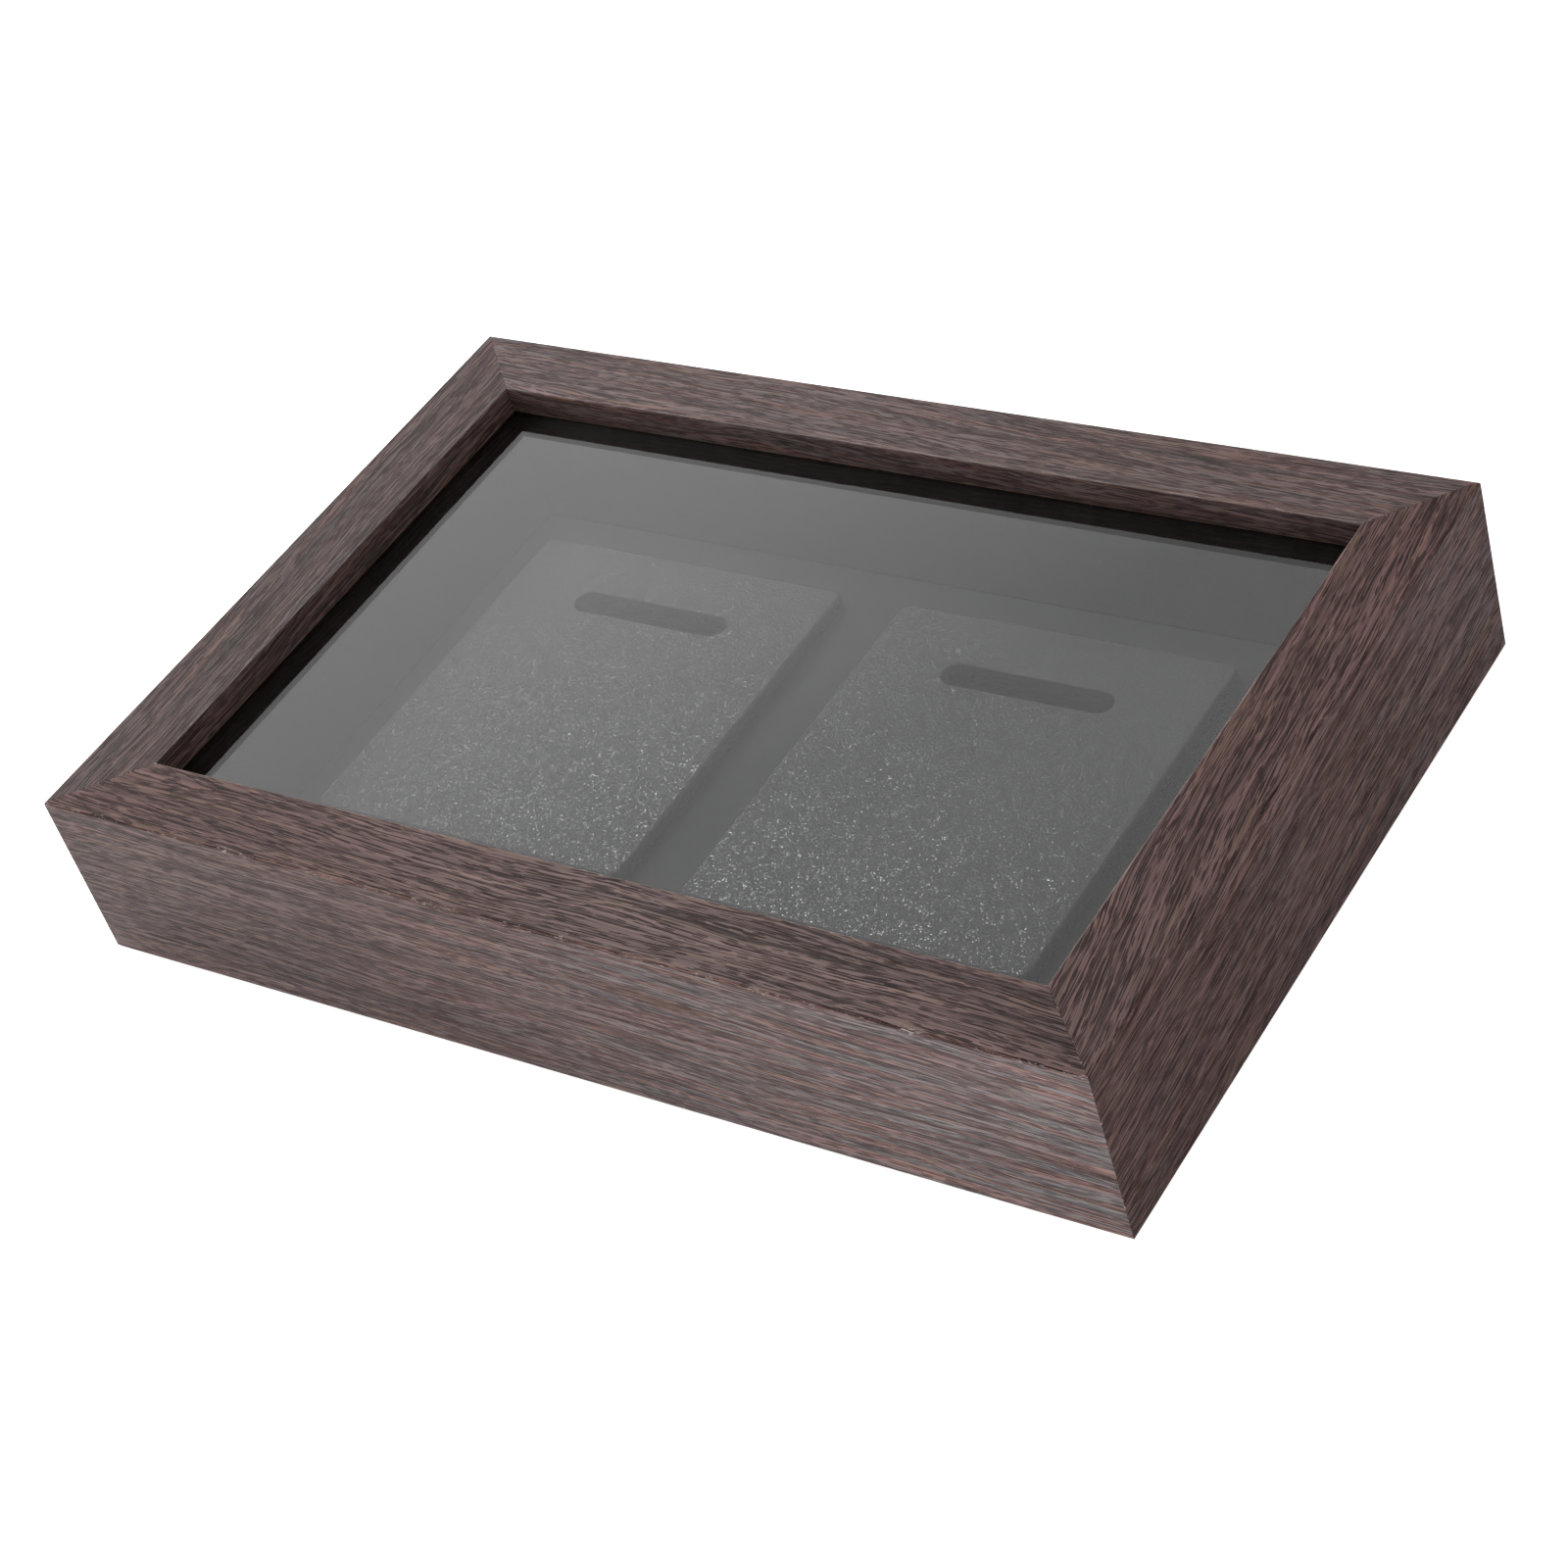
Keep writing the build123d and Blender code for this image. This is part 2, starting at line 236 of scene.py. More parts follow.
def veins(recipe, along, line):
    """How dark the veins are, from 0 to 1. width is the share of a ring that its line fills."""
    rows = RINGS, CROWD, BROKEN, NEEDLES
    rings, crowd, broken, needles = (recipe.streaks(along, line, *row) for row in rows)
    rings = recipe.sum("FRACT", recipe.sum("MULTIPLY", rings, RING_STEPS))
    width = recipe.sum("MULTIPLY_ADD", broken, 0.9, -1.11)
    width = recipe.sum("MULTIPLY_ADD", crowd, 1.3, width)
    lines = recipe.soft(recipe.sum("SUBTRACT", width, rings), 0.0, 0.06)
    return recipe.sum("MAXIMUM", lines, recipe.soft(needles, 0.62, 0.66))


# %% [markdown]
# Pores are dark tapered dashes of three lengths, which the press also sinks into the foil. They are
# cells pulled long, and each row has a dash's length and width, a limit that leaves more cells
# empty the higher it is, and where on the pattern it starts.

# %% Pores
PORES = ((26.0, 0.70, 0.36, 2.0), (11.0, 0.50, 0.35, 9.0), (6.0, 0.42, 0.27, 15.0))
PORE_EDGE = 0.32, 0.24
EMPTIER_WHERE_BOLD = 0.35


def pores(recipe, along, line, bold):
    """How dark the pores are, from 0 to 1. Bold stretches of the print have fewer of them."""
    pore = 0.0
    for length, width, limit, shift in PORES:
        away, chance = recipe.cells(recipe.plane(along, line, length, width, shift), "2D")
        limit = recipe.sum("MULTIPLY_ADD", bold, EMPTIER_WHERE_BOLD, limit)
        kept = recipe.sum("GREATER_THAN", chance, limit)
        dash = recipe.sum("MULTIPLY", recipe.soft(away, *PORE_EDGE), kept)
        pore = recipe.sum("MAXIMUM", pore, dash)
    return pore


# %% [markdown]
# The grain as a whole wanders a little to the side as it goes along, more on the face than on the
# outer side, where the print shows quieter and straighter wood. Pale threads along the grain are
# painted highlights: glints on the foil's embossing, put into its colour.

# %% The foil's grain
DRIFT, RIPPLE = (150, 26), (36, 8, 7.0, 1, 0.5)
DRIFT_REACH, RIPPLE_ON_SIDE, RIPPLE_ON_FACE = 9.0, 0.3, 1.8
PAINTED_GLINT, PAINTED_GLINT_STREAKS = (0.27, 0.19, 0.18), (12, 0.26, 29.0, 2, 0.6)


def grain(recipe, along, around, start, slant, grey_print_and_sheen, bold):
    """Colour and height of the print, from the place on the foil."""
    line = recipe.sum("MULTIPLY_ADD", along, slant, around)
    along = recipe.sum("ADD", along, start)
    drift = recipe.streaks(along, around, *DRIFT)
    ripple = recipe.streaks(along, around, *RIPPLE)
    ripple_reach = recipe.soft(around, -6.0, 0.0, RIPPLE_ON_SIDE, RIPPLE_ON_FACE)
    line = recipe.sum("MULTIPLY_ADD", drift, DRIFT_REACH, line)
    line = recipe.sum("MULTIPLY_ADD", ripple, ripple_reach, line)

    colour, fibres = ground(recipe, along, line, grey_print_and_sheen)
    vein = recipe.sum("MULTIPLY", veins(recipe, along, line), bold)
    pore = pores(recipe, along, line, bold)
    pore = recipe.sum("MULTIPLY", pore, recipe.sum("MULTIPLY_ADD", bold, 0.6, 0.4))
    painted_glints = recipe.streaks(along, line, *PAINTED_GLINT_STREAKS)
    colour = recipe.mix(vein, colour, VEIN)
    # Painted highlights: pale threads that stand for glints on the embossing.
    colour = recipe.mix(recipe.soft(painted_glints, 0.63, 0.68, 0.0, 0.4), colour, PAINTED_GLINT)
    colour = recipe.mix(pore, colour, VEIN)
    pressed = recipe.sum("MAXIMUM", pore, recipe.sum("MULTIPLY", vein, 0.5))
    return colour, recipe.sum("SUBTRACT", recipe.sum("MULTIPLY", fibres, 0.3), pressed)


# %% [markdown]
# Where two rails meet, the saw leaves a hairline, and the brittle foil chips a little along it,
# which bares its pale paper core. The pairs below are distances from the mitre in millimetres,
# where a mark is gone and where it is at full strength.

# %% Wear at the mitres
PAPER_CORE = (0.42, 0.36, 0.34)
HAIRLINE, CHIPPED = (0.14, 0.05), (0.45, 0.2)


def worn_mitres(recipe, colour, along, inset, run):
    """The colour with a hairline and chips where the rail meets the next ones."""
    reach = recipe.sum("SUBTRACT", run / 2, recipe.sum("ABSOLUTE", along))
    from_mitre = recipe.sum("ABSOLUTE", recipe.sum("SUBTRACT", reach, inset))
    ragged = recipe.soft(recipe.noise(recipe.place(0.9 * MM), 2, 0.6), 0.66, 0.72)
    chips = recipe.sum("MULTIPLY", ragged, recipe.soft(from_mitre, *CHIPPED))
    colour = recipe.mix(recipe.soft(from_mitre, *HAIRLINE, 0.0, 0.7), colour, VEIN)
    return recipe.mix(chips, colour, PAPER_CORE)


# %% [markdown]
# Along the long edges the foil is rubbed and frayed, so that pale flecks show in clusters. The edge
# over the glass has a thin pale line as well, partly rubbed foil and partly a painted highlight.

# %% Wear at the long edges
FLECK_AND_HIGHLIGHT = (0.33, 0.29, 0.27)
LIP_EDGE = RAIL_FACE - 0.4
FRAYED, CLUSTERS = (1.8, 0.3, 41.0, 2, 0.6), (16, 60, 53.0, 3, 0.7)


def worn_edges(recipe, colour, along, around, fray):
    """The colour with pale flecks at the outer edge and at the lip's. fray is their strength."""
    from_edge = recipe.sum("ABSOLUTE", around)
    from_lip = recipe.sum("ABSOLUTE", recipe.sum("SUBTRACT", around, LIP_EDGE))
    # A thin pale line at the lip's edge: rubbed foil and a painted highlight.
    colour = recipe.mix(recipe.soft(from_lip, 0.35, 0.1, 0.0, 0.25), colour, FLECK_AND_HIGHLIGHT)
    near_lip = recipe.soft(from_lip, 0.5, 0.2, 0.0, 0.8)
    edges = recipe.sum("MAXIMUM", recipe.soft(from_edge, 1.3, 0.15), near_lip)
    frayed = recipe.streaks(along, around, *FRAYED)
    clusters = recipe.streaks(along, around, *CLUSTERS)
    frayed = recipe.sum("MULTIPLY_ADD", clusters, 0.9, frayed)
    frayed = recipe.sum("MULTIPLY_ADD", edges, 0.17, frayed)
    frayed = recipe.soft(frayed, 1.27, 1.31, 0.0, fray)
    return recipe.mix(recipe.sum("MULTIPLY", frayed, recipe.soft(edges, 0.0, 0.2)), colour, FLECK_AND_HIGHLIGHT)


# %% [markdown]
# Inside the rebate and under the foot the foil stops, and the bare fibreboard shows. Both are told
# by inset and height in millimetres.

# %% Bare fibreboard
BARE_BOARD = (0.26, 0.17, 0.105)
REBATE_INSET, REBATE_TOP = 15.0, 43.6
FOOT_INSET, FOOT_TOP = 4.6, 4.2


def bare_board(recipe, colour, inset, height):
    """The colour with bare board where there is no foil, and where that is."""
    places = []
    for from_inset, top in ((REBATE_INSET, REBATE_TOP), (FOOT_INSET, FOOT_TOP)):
        inside = recipe.sum("GREATER_THAN", inset, from_inset)
        places.append(recipe.sum("MULTIPLY", inside, recipe.sum("LESS_THAN", height, top)))
    bare = recipe.sum("MAXIMUM", *places)
    speckle = recipe.noise(recipe.place(0.5 * MM), 3, 0.7)
    board = recipe.shade(BARE_BOARD, recipe.soft(speckle, 0.3, 0.7, 0.75, 1.2))
    return recipe.mix(bare, colour, board), bare


# %% [markdown]
# Each rail gets its own stretch of the print, with its grain at its own slant, so every rail has a
# row of its own. The rows also paint light and shade into the colour: the tone makes each rail's
# face and outer side lighter or darker, so that the right rail is the darkest, and the value lip
# makes the lip beside the glass lighter or darker. Both are painted light and shade. The grey share
# sets the cool grey streaks of the print, and on the near rail's outer side, greyer towards the
# right, it is also a painted sheen. Where a row holds two numbers, they are for the face and the
# side. Where it holds three, the side changes evenly from its second number at one end to its
# third at the other.

# %% What differs from rail to rail
RAILS = {
    "near": {
        "turn": 0, "run": LONG, "across": SHORT, "start": 0.0, "slant": 0.03,
        "tone": (0.93, 0.64, 0.99), "lip": 1.0, "grey_print_and_sheen": (0.0, 0.25, 0.90),
        "bold": (0.80, 0.45), "shine": (0.06, 0.12), "fray": 0.85},
    "right": {
        "turn": 90, "run": SHORT, "across": LONG, "start": 900.0, "slant": -0.10,
        "tone": (0.88, 0.64, 0.75), "lip": 1.0, "grey_print_and_sheen": (0.0, 0.25, 0.50),
        "bold": (0.76, 0.60), "shine": (0.05, 0.01), "fray": 0.25},
    "far": {
        "turn": 180, "run": LONG, "across": SHORT, "start": 2100.0, "slant": 0.04,
        "tone": (1.02, 1.10, 1.10), "lip": 0.9, "grey_print_and_sheen": (0.5, 0.5, 0.5),
        "bold": (0.50, 0.40), "shine": (0.10, 0.10), "fray": 0.4},
    "left": {
        "turn": 270, "run": SHORT, "across": LONG, "start": 3300.0, "slant": -0.03,
        "tone": (0.70, 1.00, 1.00), "lip": 1.6, "grey_print_and_sheen": (0.4, 0.5, 0.5),
        "bold": (0.50, 0.40), "shine": (0.08, 0.10), "fray": 0.4},
}
print("stretches of foil:", ", ".join(f"{rail} {row['run']:.0f} mm" for rail, row in RAILS.items()))

# %% [markdown]
# The four materials differ only in these rows. The foil is a little glossier where it is raised
# than in its pores, and its relief is a tenth of a millimetre deep.

# %% The foil's materials
OUTER_EDGE = -0.6, 0.2
ROUGH_PRESSED, ROUGH_RAISED, ROUGH_BARE = 0.52, 0.38, 0.9
FOIL_RELIEF = 0.00011


def foil(name, turn, run, across, start, slant, tone, lip, grey_print_and_sheen, bold, shine, fray):
    recipe = Recipe(name)
    along, around, inset, height = unroll(recipe, turn, across)

    def by_side(face, side):
        return recipe.soft(around, *OUTER_EDGE, side, face)

    def along_side(first, last):
        return recipe.soft(along, -run / 2, run / 2, first, last)

    # Grey streaks of the print, and on the near rail's outer side also a painted sheen.
    grey = by_side(grey_print_and_sheen[0], along_side(*grey_print_and_sheen[1:]))
    colour, relief = grain(recipe, along, around, start, slant, grey, by_side(*bold))
    # Painted light and shade: the face and the outer side are made lighter or darker.
    colour = recipe.shade(colour, by_side(tone[0], along_side(*tone[1:])))
    # Painted light and shade on the lip, beside the glass.
    lip_painted_light_and_shade = recipe.soft(around, RAIL_FACE - 0.5, RAIL_FACE + 0.5, 1.0, lip)
    colour = recipe.shade(colour, lip_painted_light_and_shade)
    colour = worn_mitres(recipe, colour, along, inset, run)
    colour = worn_edges(recipe, colour, along, around, fray)
    colour, bare = bare_board(recipe, colour, inset, height)
    rough = recipe.soft(relief, -0.6, 0.3, ROUGH_PRESSED, ROUGH_RAISED)
    rough = recipe.sum("MAXIMUM", rough, recipe.sum("MULTIPLY", bare, ROUGH_BARE))
    finish = {"Base Color": colour, "Roughness": rough, "Specular IOR Level": by_side(*shine)}
    return recipe.finish(finish, relief, FOIL_RELIEF)


for rail, row in RAILS.items():
    dress(foil("walnut_foil_" + rail, **row), rail + "_rail")

# %% [markdown]
# ## Glass
# The pane is 2 mm float glass pressed up against the lip. Both its faces are real surfaces in the
# frame, so a plain glass shader gives the true double reflection. Rays on their way to a lamp
# pass straight through, as light does through a window, and the inside of the box is lit softly.

# %% Clear glass
GLASS_TINT, WINDOW_TINT = (0.975, 0.98, 0.978, 1), (0.94, 0.945, 0.942, 1)
pane = Recipe("glass_clear")
clear = {"Base Color": GLASS_TINT, "Roughness": 0.0, "IOR": 1.5, "Transmission Weight": 1.0}
glass = pane.put("BsdfPrincipled", clear).outputs[0]
window = pane.put("BsdfTransparent", {"Color": WINDOW_TINT}).outputs[0]
to_lamp = pane.put("LightPath", {}).outputs["Is Shadow Ray"]
either = pane.put("MixShader", {0: to_lamp, 1: glass, 2: window}).outputs[0]
dress(pane.surface(either), "glass_pane")

# %% [markdown]
# ## Foam round the walls
# Four strips of black foam line the walls. They hold the glass up against the lip and the board
# down, and from the front they show as the dark walls of the box. Foam is a mass of small open
# bubbles, which swallow the light, so it is near black and has hardly any shine.

# %% Black foam
BUBBLE_PIT_SHADE, SKIN = (0.005, 0.005, 0.005), (0.008, 0.008, 0.0082)
BUBBLES_A_MM = 1.4
spongy = Recipe("foam_black")
at = spongy.place()
away, _ = spongy.cells(spongy.shade(at, BUBBLES_A_MM))
dusty = spongy.noise(spongy.shade(at, 0.25), 4, 0.6)
# Painted shade: the pits of the bubbles are darker than the skin between them.
colour = spongy.mix(spongy.soft(away, 0.2, 0.7), BUBBLE_PIT_SHADE, SKIN)
colour = spongy.shade(colour, spongy.soft(dusty, 0.3, 0.7, 0.8, 1.3))
dull = {"Base Color": colour, "Roughness": 0.95, "Specular IOR Level": 0.2}
foam = spongy.finish(dull, away, 0.00001)

# %% [markdown]
# Each strip is a wedge, thick at its foot and thin under the lip, and mitred at its ends. Foam is
# cut with a hot wire or a blade, which leaves soft edges, so the long edges are rounded a little.
# The wedge starts as a cube. Its upper inner edge is pushed out towards the wall, and two slanting
# planes cut its ends. Rounding with a bevel is needed again later, so it gets a helper.

# %% A mitred wedge
FOAM_TOP = 6.0 * MM
FOAM_EDGE, FOAM_EDGE_STEPS = 0.7 * MM, 3


def rounded(shape, geometry, offset, segments, affect="EDGES"):
    """Rounds edges, or the corners of a flat face."""
    how = {"offset_type": "OFFSET", "affect": affect, "profile": 0.5, "material": -1}
    return bmesh.ops.bevel(shape, geom=geometry, offset=offset, segments=segments, **how)


def wedge(run, foot, wall, bottom, height):
    """A wedge along X, with its back at a wall on the near side and its foot at the bottom."""
    middle = Vector((0, foot / 2 - wall, bottom + height / 2))
    shape = bmesh.new()
    bmesh.ops.create_cube(shape, size=1.0)
    bmesh.ops.scale(shape, vec=(run, foot, height), verts=shape.verts)
    bmesh.ops.translate(shape, vec=middle, verts=shape.verts)
    upper_inner = [v for v in shape.verts if v.co.z > middle.z and v.co.y > middle.y]
    bmesh.ops.translate(shape, vec=(0, FOAM_TOP - foot, 0), verts=upper_inner)
    for side in (-1, 1):
        whole = shape.verts[:] + shape.edges[:] + shape.faces[:]
        plane = {"plane_co": (side * run / 2, -wall, 0), "plane_no": (side, 1, 0)}
        cut = bmesh.ops.bisect_plane(shape, geom=whole, clear_outer=True, **plane)
        rim = [e for e in cut["geom_cut"] if isinstance(e, bmesh.types.BMEdge)]
        bmesh.ops.edgeloop_fill(shape, edges=rim)
    long_edges = [e for e in shape.edges if abs(e.verts[0].co.x - e.verts[1].co.x) > run / 2]
    rounded(shape, long_edges, FOAM_EDGE, FOAM_EDGE_STEPS)
    return shape


# %% [markdown]
# A strip takes its size from the CAD solid that it replaces. It is made for the near wall and then
# turned about the middle of the box to its own wall. It fills its solid.


# %% The strips
def into_scene(name, shape, material):
    """An object made from a bmesh, with its material, in the scene."""
    piece = bpy.data.objects.new(name, bpy.data.meshes.new(name))
    shape.to_mesh(piece.data)
    shape.free()
    bpy.context.scene.collection.objects.link(piece)
    piece.data.materials.append(material)
    print(f"{name}: {len(piece.data.polygons)} faces")
    return piece


def strip(name, node, turn):
    """A foam strip that fills its CAD solid."""
    low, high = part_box(node)
    size = high - low
    run, foot = max(size.x, size.y), min(size.x, size.y)
    ends = (low.y, high.y) if turn in (0, 180) else (low.x, high.x)
    wall = min(abs(end) for end in ends) + foot
    shape = wedge(run, foot, wall, low.z, size.z)
    turned = Matrix.Rotation(math.radians(turn), 3, "Z")
    bmesh.ops.rotate(shape, cent=(0, 0, 0), matrix=turned, verts=shape.verts)
    bmesh.ops.recalc_face_normals(shape, faces=shape.faces)
    piece = into_scene(name, shape, foam)
    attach(piece, "case")
    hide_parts(node)


for place, turn in (("near", 0), ("right", 90), ("far", 180), ("left", 270)):
    strip(f"foam_strip_{place}", f"liner_strip_{place}", turn)

# %% [markdown]
# ## The display board
# The floor of the box is a board covered with flocked paper: millions of short black fibres stand
# on end, so it has no gloss, only a faint bloom at low angles where the tips catch the light. Its
# colour has painted shade, darker among the roots of the fibres than at their tips, and a painted
# sheen, lighter in broad patches where the pile lies another way.

# %% Black flock
FLOCK_ROOT_SHADE, FLOCK_TIP = (0.006, 0.006, 0.0065), (0.016, 0.016, 0.0165)
flocked = Recipe("flock_black")
at = flocked.place()
tips = flocked.noise(flocked.shade(at, 6.0), 2, 0.7)
pile_sheen = flocked.noise(flocked.shade(at, 0.05), 3, 0.6)
# Painted shade: darker among the fibres' roots than at their tips.
colour = flocked.mix(flocked.soft(tips, 0.3, 0.75), FLOCK_ROOT_SHADE, FLOCK_TIP)
# Painted sheen: lighter in broad patches where the pile lies another way.
colour = flocked.shade(colour, flocked.soft(pile_sheen, 0.3, 0.7, 0.8, 1.25))
bloom = {"Specular IOR Level": 0.1, "Sheen Weight": 0.03, "Sheen Roughness": 0.5}
flock = flocked.finish({"Base Color": colour, "Roughness": 1.0} | bloom, tips, 0.00002)
dress(flock, "display_board")

# %% [markdown]
# ## Medal plates
# Each medal lies on a small board wrapped in black leathercloth, a vinyl with a fine pebble grain.
# The grain has about three pebbles to two millimetres, and is very low. Only some of the pebbles
# have a shine, so a lamp shows as scattered sparks that come and go as one walks round the box.

# %% Black leathercloth
PEBBLE_CREVICE_SHADE, PEBBLE_TOP = (0.020, 0.020, 0.0202), (0.034, 0.034, 0.0343)
PEBBLES_A_MM = 1.4
SHINE_LEAST, SHINE_MOST = 0.004, 0.23
leather = Recipe("leathercloth_black")
at = leather.place()
pebble, tone = leather.cells(leather.shade(at, PEBBLES_A_MM))
creases = leather.noise(leather.shade(at, 0.35), 3, 0.6)
dome = leather.soft(pebble, 0.7, 0.0)
# Painted shade: the crevices round each pebble are darker than its top.
colour = leather.mix(dome, PEBBLE_CREVICE_SHADE, PEBBLE_TOP)
shine = leather.soft(tone, 0.61, 0.93, SHINE_LEAST, SHINE_MOST)
height = leather.sum("MULTIPLY_ADD", creases, 0.3, dome)
vinyl = {"Base Color": colour, "Roughness": 0.15, "Specular IOR Level": shine}
leathercloth = leather.finish(vinyl, height, 0.000045)

# %% [markdown]
# The ribbon goes down through a slot near the plate's far edge. The cloth is one sheet, drawn over
# the face, turned down the sides and into the slot. CAD holds it as a plain solid, so it is made
# again here as a sheet: a loop round the outside and a loop round the slot are bridged into a face,
# both loops are drawn down into walls, and the turns are rounded with a bevel.

# %% The shape of the cloth
PLATE_CORNER, CORNER_STEPS = 3.0 * MM, 12
SLOT_LONG, SLOT_WIDE = 48.0 * MM, 7.6 * MM
SLOT_END = 0.499 * SLOT_WIDE
SLOT_FROM_FAR_EDGE = 21.4 * MM
PLATE_TURN, SLOT_TURN, TURN_STEPS = 1.0 * MM, 0.4 * MM, 5


def rounded_loop(shape, size, centre, height, corner):
    """A closed loop of edges round a rectangle with rounded corners."""
    made = bmesh.ops.create_grid(shape, x_segments=1, y_segments=1, size=0.5)["verts"]
    bmesh.ops.scale(shape, vec=(*size, 1), verts=made)
    bmesh.ops.translate(shape, vec=(*centre, height), verts=made)
    cut = rounded(shape, made, corner, CORNER_STEPS, affect="VERTICES")
    face = cut["verts"][0].link_faces[0]
    edges = face.edges[:]
    bmesh.ops.delete(shape, geom=[face], context="FACES_ONLY")
    return edges


def cloth(low, high):
    """The cloth over a plate with these corners: its face, its sides and the walls of its slot."""
    centre = (low + high) / 2
    slot_at = (centre.x, high.y - SLOT_FROM_FAR_EDGE)
    shape = bmesh.new()
    size = (high.x - low.x, high.y - low.y)
    outside = rounded_loop(shape, size, centre[:2], high.z, PLATE_CORNER)
    inside = rounded_loop(shape, (SLOT_LONG, SLOT_WIDE), slot_at, high.z, SLOT_END)
    bmesh.ops.bridge_loops(shape, edges=outside + inside)
    for loop, turn in ((outside, PLATE_TURN), (inside, SLOT_TURN)):
        wall = bmesh.ops.extrude_edge_only(shape, edges=loop)["geom"]
        foot = [v for v in wall if isinstance(v, bmesh.types.BMVert)]
        bmesh.ops.translate(shape, vec=(0, 0, low.z - high.z), verts=foot)
        rounded(shape, loop, turn, TURN_STEPS)
    bmesh.ops.recalc_face_normals(shape, faces=shape.faces)
    for face in shape.faces:
        face.smooth = abs(face.normal.z) < 0.99
    return shape


# %% [markdown]
# A Solidify modifier gives the sheet the thickness of the cloth, inwards. The cloth is cut at the
# plate's size, and the plate's height more on each side for what is turned down.

# %% The wrapped plates
CLOTH = 0.6 * MM


def wrapped_plate(name, node):
    """The leathercloth over one plate, stretched on the plate's core."""
    low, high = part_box(node)
    piece = into_scene(name, cloth(low, high), leathercloth)
    thick = piece.modifiers.new("cloth", "SOLIDIFY")
    thick.thickness, thick.offset = CLOTH, -1.0
    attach(piece, "case")
    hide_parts(node)


for place in ("left", "right"):
    wrapped_plate(f"plate_wrap_{place}", f"plate_cloth_{place}")

# %% [markdown]
# ## Boards and battens behind the scenes
# Nothing here shows from the front, but the box can be opened from behind. The plates' cores are
# raw fibreboard, a felt of fine wood dust with soft speckles.

# %% Raw fibreboard
fibre = Recipe("fibreboard_raw")
speckle = fibre.noise(fibre.place(0.4 * MM), 3, 0.7)
colour = fibre.shade((0.33, 0.25, 0.18), fibre.soft(speckle, 0.3, 0.7, 0.75, 1.2))
raw = fibre.finish({"Base Color": colour, "Roughness": 0.9}, speckle, 0.00008)
dress(raw, "plate_core_left", "plate_core_right")

# %% [markdown]
# The back cover is hardboard: wood fibres pressed hard and smooth, with wisps and a few dark
# specks. Grey paper is glued to its inner face, because that face shows through the ribbon slots,
# and its pale grey also lifts the shade inside the slots: painted light.

# %% Hardboard
HARDBOARD_DARK, HARDBOARD_PALE = (0.185, 0.112, 0.062), (0.24, 0.15, 0.086)
SPECK, LINING_PAPER_PAINTED_LIGHT = (0.06, 0.035, 0.02), (0.16, 0.16, 0.16)
COVER_TOP = 6.7
hard = Recipe("hardboard_brown")
at = hard.place()
felted = hard.put("Mapping", {"Vector": at, "Scale": (1.3, 2.8, 2.0)}).outputs[0]
wisps = hard.noise(felted, 3, 0.6)
specks = hard.noise(hard.shade(at, 2.6), 2, 0.5)
colour = hard.mix(hard.soft(wisps, 0.3, 0.7), HARDBOARD_DARK, HARDBOARD_PALE)
colour = hard.mix(hard.soft(specks, 0.64, 0.74, 0.0, 0.45), colour, SPECK)
inner_face = hard.sum("GREATER_THAN", hard.axes()["Z"], COVER_TOP - 0.05)
# Pale grey paper on the inner face: a lining, pale enough to paint light into the shaded slots.
colour = hard.mix(inner_face, colour, LINING_PAPER_PAINTED_LIGHT)
smooth = {"Base Color": colour, "Roughness": hard.soft(wisps, 0.3, 0.7, 0.4, 0.55)}
dress(hard.finish(smooth, wisps, 0.00006), "back_cover")

# %% [markdown]
# The battens are sawn pine. Its growth rings are drawn on a slice through the log that is stretched
# along the batten, as bands between pale early wood and brown late wood.

# %% Sawn pine
EARLY_WOOD, LATE_WOOD = (0.62, 0.43, 0.24), (0.40, 0.23, 0.10)
RING_WANDER, PINE_FIBRES = (90, 14), (7, 0.25, 0.0, 3, 0.6)


def pine(name, turn):
    recipe = Recipe(name)
    axes = recipe.axes(turn)
    section = recipe.sum("MULTIPLY_ADD", axes["Z"], 0.6, axes["Y"])
    wander = recipe.streaks(axes["X"], section, *RING_WANDER)
    section = recipe.sum("MULTIPLY_ADD", wander, 6.0, section)
    rings = recipe.sum("SINE", recipe.sum("MULTIPLY", section, 2.6))
    fibres = recipe.streaks(axes["X"], section, *PINE_FIBRES)
    colour = recipe.mix(recipe.soft(rings, -0.2, 1.0), EARLY_WOOD, LATE_WOOD)
    colour = recipe.shade(colour, recipe.soft(fibres, 0.25, 0.75, 0.85, 1.12))
    return recipe.finish({"Base Color": colour, "Roughness": 0.75}, fibres, 0.0001)


dress(pine("raw_pine_long", 0), "batten_far", "batten_near")
dress(pine("raw_pine_short", 90), "batten_left", "batten_right")

# %% [markdown]
# ## Metal at the back
# The turn buttons and the hangers are pressed from steel and nickel plated, which leaves a warm
# satin shine with fine tumbling marks. Screws, nails and corner nails are bright zinc.

# %% Nickel and zinc
TUMBLED_TURN, TUMBLED_SCALE = (0, 0, 0.5), (0.5, 6.0, 2.0)


def plated(name, colour, low, high):
    """A plated metal whose roughness lies between low and high."""
    recipe = Recipe(name)
    at = recipe.place()
    tumbled = {"Vector": at, "Rotation": TUMBLED_TURN, "Scale": TUMBLED_SCALE}
    marks = recipe.noise(recipe.put("Mapping", tumbled).outputs[0], 4, 0.65)
    bloom = recipe.noise(recipe.shade(at, 0.5), 3, 0.6)
    tint = recipe.shade(colour, recipe.soft(bloom, 0.3, 0.7, 0.88, 1.06))
    worn = recipe.sum("MULTIPLY_ADD", marks, 0.5, recipe.sum("MULTIPLY", bloom, 0.5))
    rough = recipe.soft(worn, 0.3, 0.7, low, high)
    return recipe.finish({"Base Color": tint, "Metallic": 1.0, "Roughness": rough}, marks, 0.00002)


